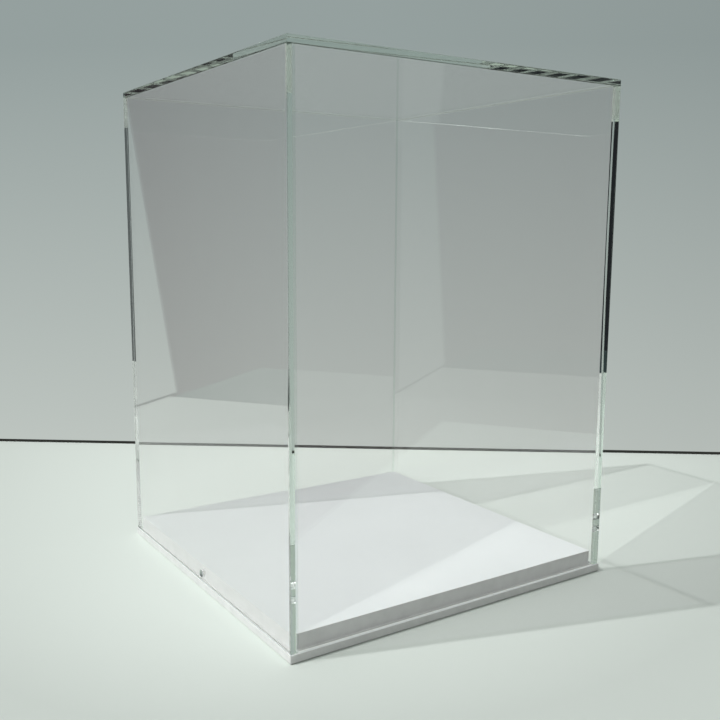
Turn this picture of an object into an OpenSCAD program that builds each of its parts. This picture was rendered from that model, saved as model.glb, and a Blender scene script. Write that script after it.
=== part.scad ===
// Table-top display case: a clear five-sided cover of cemented acrylic sheet that drops over the
// raised block of a white base board. Millimetres, +Z up, the front faces -Y and the left side -X.
// The origin is at the middle of the base board's underside.

/* [Base board] */
// Width of the base board, left to right
base_w = 200; // [120:1:400]
// Depth of the base board, front to back
base_d = 200; // [120:1:400]
// Thickness of the sheet that the base is cut from
base_t = 12; // [12:0.5:20]
// Thickness that the rebate leaves in the lip round the rim
lip_t = 4; // [3:0.5:5]
// Arris sanded off the board's edges
board_arris = 0.5; // [0.2:0.1:1]

/* [Cover] */
// Height of the cover, from the lip that it stands on to its top
cover_h = 266; // [100:1:500]
// Thickness of the acrylic sheet
sheet_t = 4; // [3:0.5:6]
// Arris polished off the cover's outside edges
sheet_arris = 0.3; // [0.1:0.1:0.6]

/* [Fit] */
// How far the cover's outside stands back from the edge of the lip
rim_setback = 0.5; // [0:0.1:2]
// Clearance between the inside of the cover and the raised block
block_gap = 0.5; // [0.3:0.1:1.5]

/* [Fixing holes] */
// Clearance hole for a security screw, one through the middle of each side panel
hole_d = 4; // [3:0.5:5]
// Pilot hole that the screw bites in, behind each clearance hole
pilot_d = 2; // [1.5:0.5:3]
// Depth of the pilot hole's straight part
pilot_depth = 10; // [6:1:20]
// Included angle of the drill's point, at the bottom of the pilot hole
drill_point = 118; // [90:1:140]

/* [Hidden] */
$fn = 96;

rebate_w = rim_setback + sheet_t + block_gap;
block_w = base_w - 2 * rebate_w;
block_d = base_d - 2 * rebate_w;
cover_w = base_w - 2 * rim_setback;
cover_d = base_d - 2 * rim_setback;
wall_h = cover_h - sheet_t;
hole_z = (lip_t + base_t) / 2;
overcut = 1;

board_white = [0.95, 0.95, 0.94];
clear_acrylic = [0.80, 0.92, 0.89, 0.35];

// The edges of a box that run along one axis, named by the sides of the box that they lie on:
// the first number is the side across the first of the other two axes, the second the other.
ALL_EDGES = [[-1, -1], [1, -1], [1, 1], [-1, 1]];
LOW_EDGES = [[-1, -1], [1, -1]];
HIGH_EDGES = [[-1, 1], [1, 1]];

// A square bar along X, set on edge, that cuts an arris with legs of the given size
module arris_bar(length, leg) {
    rotate([0, 90, 0])
        linear_extrude(height = length + 2 * overcut, center = true)
            polygon([[leg, 0], [0, leg], [-leg, 0], [0, -leg]]);
}

// A box centred on X and Y that stands on Z = 0, with an arris taken off each edge that the
// three lists name
module eased_box(size, leg, along_x = [], along_y = [], along_z = []) {
    difference() {
        translate([-size.x / 2, -size.y / 2, 0])
            cube(size);
        for (edge = along_x)
            translate([0, edge[0] * size.y / 2, (1 + edge[1]) / 2 * size.z])
                arris_bar(size.x, leg);
        for (edge = along_y)
            translate([edge[0] * size.x / 2, 0, (1 + edge[1]) / 2 * size.z])
                rotate([0, 0, 90])
                    arris_bar(size.y, leg);
        for (edge = along_z)
            translate([edge[0] * size.x / 2, edge[1] * size.y / 2, size.z / 2])
                rotate([0, 90, 0])
                    arris_bar(size.z, leg);
    }
}

// A blind hole drilled along +X from the origin, with the cone that the drill's point leaves
module drilled_hole(diameter, depth) {
    rotate([0, 90, 0]) {
        translate([0, 0, -overcut])
            cylinder(d = diameter, h = depth + overcut);
        translate([0, 0, depth])
            cylinder(d1 = diameter, d2 = 0, h = diameter / 2 / tan(drill_point / 2));
    }
}

// The rim of the board, which the rebate leaves thin all round: the cover stands on it
module lip_plate() {
    eased_box([base_w, base_d, lip_t], board_arris, ALL_EDGES, ALL_EDGES, ALL_EDGES);
}

// The full thickness of the board inside the rebate, which keeps the cover in its place
module raised_block() {
    eased_box([block_w, block_d, base_t], board_arris, HIGH_EDGES, HIGH_EDGES, ALL_EDGES);
}

// One board, rebated all round, with a pilot hole in the middle of each side of its block
module base_board() {
    color(board_white)
        difference() {
            union() {
                lip_plate();
                raised_block();
            }
            for (turn = [0, 180])
                rotate([0, 0, turn])
                    translate([-block_w / 2, 0, hole_z])
                        drilled_hole(pilot_d, pilot_depth);
        }
}

// A side panel runs the full depth of the cover, so its polished end edges show in the front
// and the back. The left one is drawn, and the right one is the same sheet turned round.
module side_panel() {
    color(clear_acrylic)
        translate([(sheet_t - cover_w) / 2, 0, lip_t])
            difference() {
                eased_box([sheet_t, cover_d, wall_h], sheet_arris,
                          LOW_EDGES, LOW_EDGES, [[-1, -1], [-1, 1]]);
                translate([-sheet_t / 2 - overcut, 0, hole_z - lip_t])
                    rotate([0, 90, 0])
                        cylinder(d = hole_d, h = sheet_t + 2 * overcut);
            }
}

// The front and the back panel fit between the side panels. The front one is drawn here.
module cross_panel() {
    color(clear_acrylic)
        translate([0, (sheet_t - cover_d) / 2, lip_t])
            eased_box([cover_w - 2 * sheet_t, sheet_t, wall_h], sheet_arris, LOW_EDGES);
}

module left_panel() side_panel();
module right_panel() rotate([0, 0, 180]) side_panel();
module front_panel() cross_panel();
module back_panel() rotate([0, 0, 180]) cross_panel();

// The top sheet lies over the upper edges of all four walls, flush with their outsides
module top_panel() {
    color(clear_acrylic)
        translate([0, 0, lip_t + wall_h])
            eased_box([cover_w, cover_d, sheet_t], sheet_arris, HIGH_EDGES, HIGH_EDGES, ALL_EDGES);
}

base_board();
left_panel();
right_panel();
front_panel();
back_panel();
top_panel();
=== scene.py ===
"""Looks of a table-top display case: a clear acrylic cover that drops over a rebated white board.

The case stands on z = 0 with its front towards -Y and its left side towards -X, all in metres.
Each sheet of the cover is a closed shell of its own. Sheets touch at cemented joints, where both
carry a film that bends no light, so a ray runs from one sheet into the next as it does in a
real solvent-welded box, and the polished edges pipe the room's light and dark as they should.
"""

from __future__ import annotations

import logging
import math
from dataclasses import dataclass, field
from enum import Enum, IntEnum
from typing import Sequence

import bpy
import numpy as np
from mathutils import Matrix, Vector

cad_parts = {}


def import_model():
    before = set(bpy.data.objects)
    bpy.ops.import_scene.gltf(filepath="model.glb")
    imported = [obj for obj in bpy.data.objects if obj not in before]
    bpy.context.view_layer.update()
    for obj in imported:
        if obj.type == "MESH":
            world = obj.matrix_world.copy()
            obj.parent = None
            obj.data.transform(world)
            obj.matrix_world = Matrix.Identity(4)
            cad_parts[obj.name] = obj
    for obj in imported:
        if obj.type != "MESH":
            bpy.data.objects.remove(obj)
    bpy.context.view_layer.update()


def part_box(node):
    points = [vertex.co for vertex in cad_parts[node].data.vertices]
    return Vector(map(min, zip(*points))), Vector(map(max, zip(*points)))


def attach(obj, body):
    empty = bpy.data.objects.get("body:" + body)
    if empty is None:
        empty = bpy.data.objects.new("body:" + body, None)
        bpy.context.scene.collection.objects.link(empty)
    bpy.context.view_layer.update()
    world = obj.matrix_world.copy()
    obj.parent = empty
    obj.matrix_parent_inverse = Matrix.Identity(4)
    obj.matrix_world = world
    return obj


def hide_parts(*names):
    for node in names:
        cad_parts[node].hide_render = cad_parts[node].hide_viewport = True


LOG = logging.getLogger("display_case")

MM = 0.001
ARC_STEPS = 5  # faces in a quarter round
BORE_STEPS = 48  # faces round a hole
QUARTER_TURN = math.pi / 2

Colour = tuple[float, float, float]
Point = tuple[float, float, float]

TOWARD_BACKDROP: Point = (0.594, 0.804, 0.0)  # level direction from the case to the backdrop
ALONG_BACKDROP: Point = (TOWARD_BACKDROP[1], -TOWARD_BACKDROP[0], 0.0)  # the same turned to the right
MIDDLE_NOISE = (0.3, 0.7)  # where nearly all values of a noise texture lie
DIM_ROOM: Colour = (0.085, 0.05, 0.06)  # the room's lower part, as a sheet's face mirrors it
UNLIT_ROOM: Colour = (0.012, 0.016, 0.018)  # the same, as the sheets pipe it


# ---------------------------------------------------------------- shells worked out with numpy


class Side(IntEnum):
    """The flat sides of a level ring, in the order that the ring meets them."""

    BACK = 0
    LEFT = 1
    FRONT = 2
    RIGHT = 3


class Leaves(Enum):
    """The way in which a quarter round leaves its first point."""

    LEVEL = "level"
    UPRIGHT = "upright"


@dataclass(frozen=True)
class Level:
    """One level ring of a shell: a rectangle with round corners, at a height.

    Attributes:
        height: height of the ring.
        half_width: half its size along X.
        half_depth: half its size along Y.
        radii: radius of the corner before each Side, starting with the one at +X and +Y.
    """

    height: float
    half_width: float
    half_depth: float
    radii: tuple[float, float, float, float]


def quarter_round(start: tuple[float, float], end: tuple[float, float], leaves: Leaves) -> np.ndarray:
    """Points on a quarter ellipse between two points of a profile.

    With t from 0 to a quarter turn and d the way from start to end, a round that leaves level
    is start + (dx sin t, dy (1 - cos t)), and one that leaves upright is
    start + (dx (1 - cos t), dy sin t).

    Args:
        start: first point, as inset and height.
        end: last point, as inset and height.
        leaves: the direction of the round at its first point.

    Returns:
        An array of ARC_STEPS + 1 rows of inset and height.
    """
    turn = np.linspace(0.0, QUARTER_TURN, ARC_STEPS + 1)
    first, second = np.sin(turn), 1 - np.cos(turn)
    if leaves is Leaves.UPRIGHT:
        first, second = second, first
    (x0, y0), (x1, y1) = start, end
    return np.stack([x0 + (x1 - x0) * first, y0 + (y1 - y0) * second], axis=1)


def ring_points(levels: Sequence[Level], stations: Sequence[Sequence[float]]) -> np.ndarray:
    """Points of a stack of level rings, counter-clockwise as seen from above.

    A corner's points are c + r (cos a, sin a), with c the corner of the rectangle moved in by
    the radius r both ways, and a running over the quarter turn that belongs to the corner. A
    side's stations stand on the straight line after its corner.

    Args:
        levels: the rings, from the lowest to the highest.
        stations: for each Side, the places of its extra points, in the ring's own direction.

    Returns:
        An array of levels by points by three.
    """
    height = np.array([level.height for level in levels])[:, None]
    half = np.array([(level.half_width, level.half_depth) for level in levels])
    radii = np.array([level.radii for level in levels])
    turn = np.linspace(0.0, QUARTER_TURN, ARC_STEPS + 1)
    signs = ((1, 1), (-1, 1), (-1, -1), (1, -1))
    columns = []
    for side, (sign_x, sign_y) in zip(Side, signs):
        radius = radii[:, side, None]
        angle = turn + side * QUARTER_TURN
        corner_x = sign_x * (half[:, :1] - radius) + radius * np.cos(angle)
        corner_y = sign_y * (half[:, 1:] - radius) + radius * np.sin(angle)
        along = np.broadcast_to(np.array(stations[side], float), (len(levels), len(stations[side])))
        reach = {
            Side.BACK: (along, half[:, 1:] + 0 * along),
            Side.LEFT: (-half[:, :1] + 0 * along, along),
            Side.FRONT: (along, -half[:, 1:] + 0 * along),
            Side.RIGHT: (half[:, :1] + 0 * along, along),
        }[side]
        columns.append(np.stack([corner_x, corner_y], axis=2))
        columns.append(np.stack(reach, axis=2))
    plan = np.concatenate(columns, axis=1)
    return np.dstack([plan, np.broadcast_to(height, plan.shape[:2])])


def column_spans(stations: Sequence[Sequence[float]]) -> tuple[np.ndarray, np.ndarray]:
    """The side and the stretch of that side that each column of a ring's faces lies on.

    Args:
        stations: for each Side, the places of its extra points.

    Returns:
        Two arrays with one entry per column: the Side, or -1 on a corner's round, and the
        number of the stretch along the side.
    """
    sides, spans = [], []
    for side in Side:
        stretches = len(stations[side]) + 1
        sides += [-1] * ARC_STEPS + [int(side)] * stretches
        spans += [0] * ARC_STEPS + list(range(stretches))
    return np.array(sides), np.array(spans)


class Shell:
    """A closed mesh that is gathered from grids, caps and bores and then made an object."""

    def __init__(self) -> None:
        """Starts with no points and no faces."""
        self._points: list[np.ndarray] = []
        self._count = 0
        self._faces: list[list[int]] = []
        self._slots: list[int] = []
        self._smooth: list[bool] = []

    def add_points(self, points: np.ndarray) -> np.ndarray:
        """Adds points.

        Args:
            points: an array of any shape, with the coordinates along its last axis.

        Returns:
            The points' numbers, in the same shape less the last axis.
        """
        flat = points.reshape(-1, 3)
        numbers = self._count + np.arange(len(flat))
        self._points.append(flat)
        self._count += len(flat)
        return numbers.reshape(points.shape[:-1])

    def add_faces(
        self, faces: np.ndarray | list[list[int]], slots: np.ndarray | int, smooth: np.ndarray | bool
    ) -> None:
        """Adds faces.

        Args:
            faces: rows of point numbers, counter-clockwise as seen from outside.
            slots: the material slot of each face, or of them all.
            smooth: whether each face, or all of them, is shaded smooth.
        """
        rows = faces.tolist() if isinstance(faces, np.ndarray) else faces
        self._faces += rows
        self._slots += np.broadcast_to(slots, len(rows)).tolist()
        self._smooth += np.broadcast_to(smooth, len(rows)).tolist()

    def add_skin(self, rings: np.ndarray, slots: np.ndarray, smooth: np.ndarray, keep: np.ndarray) -> None:
        """Joins closed rings of point numbers with four-sided faces.

        Args:
            rings: point numbers, rings by points.
            slots: material slots, gaps between rings by points.
            smooth: whether each face is smooth, in the same shape.
            keep: False where a face is left out, in the same shape.
        """
        low, high = rings[:-1], rings[1:]
        quads = np.stack([low, np.roll(low, -1, 1), np.roll(high, -1, 1), high], axis=2)
        self.add_faces(quads[keep], slots[keep], smooth[keep])

    def add_collar(self, cell: Sequence[int], rim: np.ndarray, slot: int) -> None:
        """Fills a square cell around a round hole with one face for each of its sides.

        Args:
            cell: the cell's corners, counter-clockwise as seen from outside.
            rim: the hole's points, counter-clockwise as seen from outside.
            slot: material slot of the faces.
        """
        points = np.concatenate(self._points)
        corners = points[list(cell)]
        nearest = [int(np.linalg.norm(points[rim] - corner, axis=1).argmin()) for corner in corners]
        faces = []
        for here in range(4):
            there = (here + 1) % 4
            steps = (nearest[there] - nearest[here]) % len(rim)
            arc = rim[(nearest[there] - np.arange(steps + 1)) % len(rim)]
            faces.append([cell[here], cell[there], *arc.tolist()])
        self.add_faces(faces, slot, False)

    def add_bore(self, circles: np.ndarray, slot: int) -> None:
        """Joins the circles of a hole's wall with smooth faces.

        Args:
            circles: point numbers, circles by points.
            slot: material slot of the faces.
        """
        every = np.ones((len(circles) - 1, circles.shape[1]), bool)
        self.add_skin(circles, np.full(every.shape, int(slot)), every, every)

    def make_object(self, name: str, materials: Sequence[bpy.types.Material]) -> bpy.types.Object:
        """Makes the gathered mesh an object of the scene.

        Args:
            name: the object's name.
            materials: its materials, in the order of the slots.

        Returns:
            The object, at the origin, with its place in its mesh.
        """
        mesh = bpy.data.meshes.new(name)
        mesh.from_pydata(np.concatenate(self._points).tolist(), [], self._faces)
        for material in materials:
            mesh.materials.append(material)
        mesh.polygons.foreach_set("material_index", np.array(self._slots, np.int32))
        mesh.polygons.foreach_set("use_smooth", np.array(self._smooth, bool))
        mesh.update()
        made = bpy.data.objects.new(name, mesh)
        bpy.context.scene.collection.objects.link(made)
        return made


@dataclass
class LevelledShell:
    """A shell lofted through level rings, closed by a flat cap at each end.

    Attributes:
        centre: place of the rings' middle, along X and Y.
        levels: the rings, from the lowest to the highest.
        stations: extra points along each Side.
        band_slots: material slot of each band between two levels, on every column.
        side_slots: material slot of each Side's columns in the bands that hold the walls.
        wall_bands: the bands that side_slots apply to.
        cap_slots: material slots of the bottom and of the top cap.
        round_bands: the bands that are part of a quarter round, so shaded smooth.
        round_slot: material slot of the walls' upright corners.
        shell: the mesh that it is added to.
    """

    centre: tuple[float, float]
    levels: list[Level]
    stations: tuple[tuple[float, ...], ...]
    band_slots: list[int]
    side_slots: tuple[int, int, int, int]
    wall_bands: range
    cap_slots: tuple[int, int]
    round_bands: frozenset[int]
    round_slot: int
    shell: Shell = field(default_factory=Shell)

    def rings(self) -> np.ndarray:
        """Adds the rings' points to the shell.

        Returns:
            The points' numbers, levels by points.
        """
        points = ring_points(self.levels, self.stations)
        points[..., :2] += self.centre
        return self.shell.add_points(points)

    def loft(self, special: dict[tuple[int, int], int], holes: set[tuple[int, int, int]]) -> np.ndarray:
        """Skins the rings and closes both ends.

        Args:
            special: slots of single stretches of a wall, by side and stretch.
            holes: the cells left open for a bore, by band, side and stretch.

        Returns:
            The numbers of the rings' points, levels by points.
        """
        rings = self.rings()
        sides, spans = column_spans(self.stations)
        shape = (len(self.levels) - 1, rings.shape[1])
        slots = np.broadcast_to(np.array(self.band_slots)[:, None], shape).copy()
        smooth = np.zeros(shape, bool)
        smooth[:, sides < 0] = True
        smooth[sorted(self.round_bands)] = True
        keep = np.ones(shape, bool)
        walls = np.zeros(shape, bool)
        walls[self.wall_bands.start : self.wall_bands.stop] = True
        for side in Side:
            slots[walls & (sides == side)] = self.side_slots[side]
        slots[walls & (sides < 0)] = self.round_slot
        for (side, span), slot in special.items():
            slots[walls & (sides == side) & (spans == span)] = slot
        for band, side, span in holes:
            keep[band, (sides == side) & (spans == span)] = False
        self.shell.add_skin(rings, slots, smooth, keep)
        self.shell.add_faces([rings[0, ::-1].tolist()], self.cap_slots[0], False)
        self.shell.add_faces([rings[-1].tolist()], self.cap_slots[1], False)
        return rings

    def cell(self, rings: np.ndarray, band: int, side: Side, span: int) -> list[int]:
        """Finds one cell of the skin.

        Args:
            rings: the numbers of the rings' points.
            band: the band that the cell is in.
            side: the side that it is on.
            span: its stretch along the side.

        Returns:
            The numbers of its corners, counter-clockwise as seen from outside.
        """
        sides, spans = column_spans(self.stations)
        column = int(np.flatnonzero((sides == side) & (spans == span))[0])
        after = (column + 1) % rings.shape[1]
        return [*rings[band, [column, after]].tolist(), *rings[band + 1, [after, column]].tolist()]


@dataclass(frozen=True)
class Drilling:
    """A round hole along X: its middle, and its radius at each distance along X.

    Attributes:
        middle: place of the axis along Y and Z.
        rings: pairs of place along X and radius, from one end of the hole to the other.
    """

    middle: tuple[float, float]
    rings: tuple[tuple[float, float], ...]

    def points(self) -> np.ndarray:
        """Points of the hole's rings: (x, y + r cos a, z + r sin a) for angles a all round.

        Returns:
            An array of rings by points by three.
        """
        angle = np.linspace(0.0, 2 * math.pi, BORE_STEPS, endpoint=False)
        place, radius = np.array(self.rings).T[..., None]
        across = self.middle[0] + radius * np.cos(angle)
        up = self.middle[1] + radius * np.sin(angle)
        return np.stack([place + 0 * across, across, up], axis=2)


# ---------------------------------------------------------------- materials


class Depth(Enum):
    """What a ray's way from the camera is counted by."""

    MIRRORED = "Glossy Depth"
    LET_THROUGH = "Transmission Depth"


class Graph:
    """Adds and joins the shader nodes of one material or world."""

    def __init__(self, owner: bpy.types.Material | bpy.types.World | bpy.types.Light) -> None:
        """Clears the owner's nodes and keeps its tree.

        Args:
            owner: the material, world or lamp that the nodes are in.
        """
        self.owner = owner
        owner.use_nodes = True
        self.tree = owner.node_tree
        self.tree.nodes.clear()

    def add(self, kind: str, inputs: dict | None = None, **settings: object) -> bpy.types.Node:
        """Adds a node.

        Args:
            kind: the node's type, without the words ShaderNode before it.
            inputs: a value or an output to join for each input, by name or number.
            **settings: the node's own properties.

        Returns:
            The node.
        """
        node = self.tree.nodes.new("ShaderNode" + kind)
        for name, value in settings.items():
            setattr(node, name, value)
        for key, value in (inputs or {}).items():
            if isinstance(value, bpy.types.NodeSocket):
                self.tree.links.new(value, node.inputs[key])
            else:
                node.inputs[key].default_value = value
        return node

    def maths(self, operation: str, *values: object) -> bpy.types.NodeSocket:
        """Adds a Math node on values or outputs and returns its output."""
        return self.add("Math", dict(enumerate(values)), operation=operation).outputs[0]

    def blend(self, share: object, first: object, second: object) -> bpy.types.NodeSocket:
        """Mixes two colours by a share and returns the mixed colour."""
        return self.add("Mix", {0: share, 6: first, 7: second}, data_type="RGBA").outputs[2]

    def join(self, share: object, first: object, second: object) -> bpy.types.NodeSocket:
        """Mixes two shaders by a share and returns the mixed shader."""
        return self.add("MixShader", {0: share, 1: first, 2: second}).outputs[0]

    def grey(self, value: object) -> bpy.types.NodeSocket:
        """Turns a value into a grey colour."""
        return self.add("CombineColor", {0: value, 1: value, 2: value}).outputs[0]

    def dimmed(self, colour: object, share: object) -> bpy.types.NodeSocket:
        """Multiplies a colour by a share and returns the dimmed colour."""
        inputs = {0: 1.0, 6: colour, 7: self.grey(share)}
        return self.add("Mix", inputs, data_type="RGBA", blend_type="MULTIPLY").outputs[2]

    def dot(self, place: object, way: Point) -> bpy.types.NodeSocket:
        """How far a place or a direction reaches along another one."""
        return self.add("VectorMath", {0: place, 1: way}, operation="DOT_PRODUCT").outputs["Value"]

    def split(self, place: object) -> bpy.types.bpy_prop_collection:
        """The coordinates of a place, by the names X, Y and Z."""
        return self.add("SeparateXYZ", {0: place}).outputs

    def ramp(
        self, value: object, low: tuple[float, float], high: tuple[float, float]
    ) -> bpy.types.NodeSocket:
        """Maps a value along a straight line between two points, and holds it past them.

        Args:
            value: the value to map.
            low: a value, and what it becomes.
            high: a higher value, and what it becomes.

        Returns:
            What the value becomes.
        """
        source = {"Value": value, "From Min": low[0], "From Max": high[0]}
        target = {"To Min": low[1], "To Max": high[1]}
        return self.add("MapRange", source | target, clamp=True).outputs["Result"]

    def object_place(self) -> bpy.types.NodeSocket:
        """The point on the piece, in the frame that all pieces share."""
        return self.add("TexCoord").outputs["Object"]

    def scaled(self, vector: object, scale: Point) -> bpy.types.NodeSocket:
        """Scales a vector with a Mapping node."""
        return self.add("Mapping", {"Vector": vector, "Scale": scale}).outputs[0]

    def noise(self, vector: object, scale: float, detail: float, rough: float = 0.5) -> bpy.types.NodeSocket:
        """Adds a noise texture on a vector and returns its grey value."""
        inputs = {"Vector": vector, "Scale": scale, "Detail": detail, "Roughness": rough}
        return self.add("TexNoise", inputs).outputs["Fac"]

    def bump(self, height: object, depth: float, normal: object | None = None) -> bpy.types.NodeSocket:
        """Turns a grey value into the normal of a relief.

        Args:
            height: the grey value.
            depth: height in metres of the value's full range.
            normal: the normal of a coarser relief that this one lies on.

        Returns:
            The normal.
        """
        inputs = {"Strength": 1.0, "Distance": depth, "Height": height}
        if normal is not None:
            inputs["Normal"] = normal
        return self.add("Bump", inputs).outputs["Normal"]

    def finish(self, surface: object) -> None:
        """Sends a shader to the output of the owner's kind.

        Args:
            surface: the shader.
        """
        kinds = {bpy.types.World: "OutputWorld", bpy.types.Light: "OutputLight"}
        kind = next((kinds[owner] for owner in kinds if isinstance(self.owner, owner)), "OutputMaterial")
        self.add(kind, {"Surface": surface})

    def past(self, depth: Depth, least: float) -> bpy.types.NodeSocket:
        """1 on a ray that has been mirrored or let through more often than the least number, else 0."""
        return self.maths("GREATER_THAN", self.add("LightPath").outputs[depth.value], least)

    def mirrored(self) -> bpy.types.NodeSocket:
        """1 on a sharp ray that has been mirrored at least once on its way from the camera, else 0."""
        sharp = self.add("LightPath").outputs["Is Glossy Ray"]
        return self.maths("MULTIPLY", sharp, self.past(Depth.MIRRORED, 0.5))

    def seen(self) -> bpy.types.NodeSocket:
        """Tells which rays show something to the camera.

        Returns:
            1 on a ray straight from the camera, a mirrored one or a bent one, else 0.
        """
        path = self.add("LightPath").outputs
        sharp = self.maths("MAXIMUM", path["Is Glossy Ray"], path["Is Transmission Ray"])
        return self.maths("MAXIMUM", path["Is Camera Ray"], sharp)

    def dark_room(self) -> bpy.types.NodeSocket:
        """The lower part of the room: dim where it is mirrored once, unlit where it is piped."""
        return self.blend(self.past(Depth.MIRRORED, 1.5), rgba(DIM_ROOM), rgba(UNLIT_ROOM))


def rgba(colour: Colour) -> tuple[float, float, float, float]:
    """The colour with full alpha."""
    return (*colour, 1.0)


@dataclass(frozen=True)
class Finish:
    """A finish that makes one material. A subclass says which nodes it has.

    Attributes:
        name: name of the material.
    """

    name: str

    def make(self) -> bpy.types.Material:
        """Makes the material and fills its nodes.

        Returns:
            The material.
        """
        material = bpy.data.materials.new(self.name)
        graph = Graph(material)
        graph.finish(self.surface(graph))
        return material

    def surface(self, graph: Graph) -> bpy.types.NodeSocket:
        """Adds the nodes and returns the shader to show."""
        raise NotImplementedError


@dataclass(frozen=True)
class ClearAcrylic(Finish):
    """Cast acrylic sheet: clear, faintly green, with a trace of handling haze and of waviness.

    A lamp's light crosses it in a straight line. Each face lets through a share
    t (1 - (1 - cos)^k) of it, with t what it lets through head on.

    Attributes:
        tint: its colour, of which each face takes a part.
        ior: its refractive index.
        least_rough: its roughness where it is clean.
        haze: how much rougher it is where it is hazy.
        haze_scale: how many patches of haze there are to a metre.
        haze_edge: the values of the patches' noise where haze begins and where it is full.
        wave_scale: how many waves there are to a metre.
        wave_depth: depth of the waves.
        through_head_on: the t above.
        through_power: the k above.
    """

    tint: Colour = (1.0, 0.998, 0.996)
    ior: float = 1.49
    least_rough: float = 0.0
    haze: float = 0.02
    haze_scale: float = 28.0
    haze_edge: tuple[float, float] = (0.56, 0.78)
    wave_scale: float = 22.0
    wave_depth: float = 1.2e-6
    through_head_on: float = 0.962
    through_power: float = 7.8

    def roughness(self, graph: Graph, place: object) -> bpy.types.NodeSocket:
        """Patches of haze where hands have wiped the sheet, and clear acrylic elsewhere.

        Args:
            graph: the material's nodes.
            place: the point on the piece.

        Returns:
            The roughness.
        """
        patches = graph.noise(place, self.haze_scale, detail=4.0, rough=0.6)
        first, full = self.haze_edge
        return graph.ramp(patches, (first, self.least_rough), (full, self.least_rough + self.haze))

    def normal(self, graph: Graph, place: object) -> bpy.types.NodeSocket:
        """The slow waves of a cast sheet."""
        waves = graph.noise(place, self.wave_scale, detail=1.0)
        return graph.bump(waves, self.wave_depth)

    def lamp_colour(self, graph: Graph) -> bpy.types.NodeSocket:
        """What one face lets through of a lamp's light, for the angle at which it is met.

        Args:
            graph: the material's nodes.

        Returns:
            The share as a grey colour.
        """
        away = graph.add("LayerWeight", {"Blend": 0.5}).outputs["Facing"]
        grazing = graph.maths("POWER", away, self.through_power)
        through = graph.maths("MULTIPLY_ADD", grazing, -self.through_head_on, self.through_head_on)
        return graph.grey(through)

    def surface(self, graph: Graph) -> bpy.types.NodeSocket:
        """Glass for what is seen through it, and a straight pane for lamps and soft light.

        Args:
            graph: the material's nodes.

        Returns:
            The shader to show.
        """
        place = graph.object_place()
        inputs = {
            "Base Color": rgba(self.tint),
            "Roughness": self.roughness(graph, place),
            "IOR": self.ior,
            "Transmission Weight": 1.0,
            "Normal": self.normal(graph, place),
        }
        glass = graph.add("BsdfPrincipled", inputs).outputs[0]
        pane = graph.add("BsdfTransparent", {"Color": self.lamp_colour(graph)}).outputs[0]
        path = graph.add("LightPath").outputs
        straight = graph.maths("MAXIMUM", path["Is Shadow Ray"], path["Is Diffuse Ray"])
        return graph.join(straight, glass, pane)


@dataclass(frozen=True)
class PolishedEdge(ClearAcrylic):
    """A diamond-polished edge of the same sheet: greener, with the fine marks of the cutter.

    Attributes:
        mark_scale: how many marks there are to a metre.
        mark_depth: depth of the marks.
    """

    tint: Colour = (0.80, 0.88, 0.83)
    haze: float = 0.03
    haze_scale: float = 60.0
    mark_scale: float = 900.0
    mark_depth: float = 0.04e-6
    wave_depth: float = 0.4e-6

    def normal(self, graph: Graph, place: object) -> bpy.types.NodeSocket:
        """Slow waves under the fine marks.

        Args:
            graph: the material's nodes.
            place: the point on the piece.

        Returns:
            The normal.
        """
        waves = graph.bump(graph.noise(place, self.wave_scale, detail=1.0), self.wave_depth)
        marks = graph.noise(place, self.mark_scale, detail=2.0)
        return graph.bump(marks, self.mark_depth, waves)


@dataclass(frozen=True)
class DrilledAcrylic(ClearAcrylic):
    """The wall of a drilled hole: frosted by the drill, with rings along its depth.

    Attributes:
        ring_scale: how many rings there are to a metre.
        ring_depth: depth of the rings.
        ring_stretch: how much longer than wide the noise of the rings is drawn.
    """

    tint: Colour = (0.93, 0.96, 0.95)
    least_rough: float = 0.28
    haze: float = 0.15
    ring_scale: float = 2600.0
    ring_depth: float = 6e-6
    ring_stretch: float = 50.0

    def normal(self, graph: Graph, place: object) -> bpy.types.NodeSocket:
        """Rings left by the drill, one behind the other along X."""
        along = graph.scaled(place, (1.0, 1 / self.ring_stretch, 1 / self.ring_stretch))
        return graph.bump(graph.noise(along, self.ring_scale, detail=2.0), self.ring_depth)


@dataclass(frozen=True)
class SawnAcrylic(ClearAcrylic):
    """The foot of the front and back walls, which rests on the board: sawn and scraped, so matt.

    Attributes:
        mark_scale: how many marks of the scraper there are to a metre.
        mark_depth: depth of the marks.
        white: colour of the white lip that shows through the marks.
        white_share: share that the white has in what is seen.
    """

    tint: Colour = (0.97, 0.99, 0.98)
    least_rough: float = 0.3
    haze: float = 0.15
    mark_scale: float = 1400.0
    mark_depth: float = 8e-6
    white: Colour = (0.84, 0.88, 0.85)
    white_share: float = 0.95

    def normal(self, graph: Graph, place: object) -> bpy.types.NodeSocket:
        """Fine marks of the scraper."""
        return graph.bump(graph.noise(place, self.mark_scale, detail=2.0), self.mark_depth)

    def surface(self, graph: Graph) -> bpy.types.NodeSocket:
        """Rough acrylic, which looks white where the scraped foot rests on the white lip.

        Args:
            graph: the material's nodes.

        Returns:
            The shader to show.
        """
        glass = super().surface(graph)
        matt = graph.add("BsdfDiffuse", {"Color": rgba(self.white)}).outputs[0]
        return graph.join(graph.maths("MULTIPLY", graph.seen(), self.white_share), glass, matt)


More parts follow.
